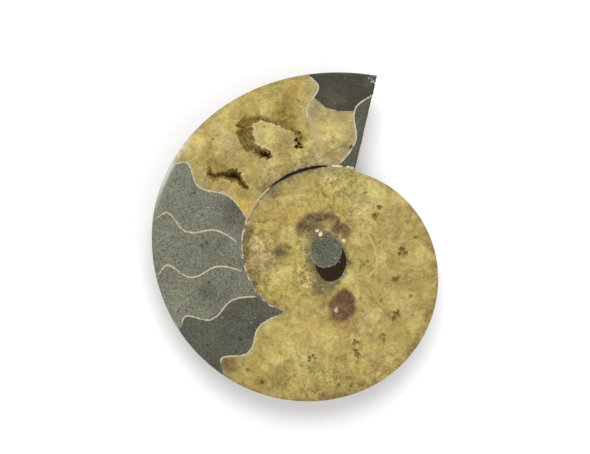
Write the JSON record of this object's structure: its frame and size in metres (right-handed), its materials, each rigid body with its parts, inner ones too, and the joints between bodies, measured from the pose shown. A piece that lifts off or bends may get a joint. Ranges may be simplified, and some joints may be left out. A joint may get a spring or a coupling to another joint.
{
  "type": "ammonite fossil",
  "caption": "Half of an ammonite fossil, sawn through its coil and polished, lying on its natural flank with the sawn face up.",
  "frame": {"origin": "under the middle of the part's box, on the surface that the flank rests on", "axes": "+Z is square to the sawn face and points out of it, +Y runs from the oldest outer edge towards the aperture, along the longest extent"},
  "size_m": [0.0608, 0.0698, 0.0105],
  "materials": {
    "fossil_stone": "polished on the sawn face, natural shell on the flank",
    "druse_calcite": "small clear to honey crystals, glossy"
  },
  "bodies": {
    "root": {"ammonite_half": "fossil_stone"}
  },
  "joints": []
}
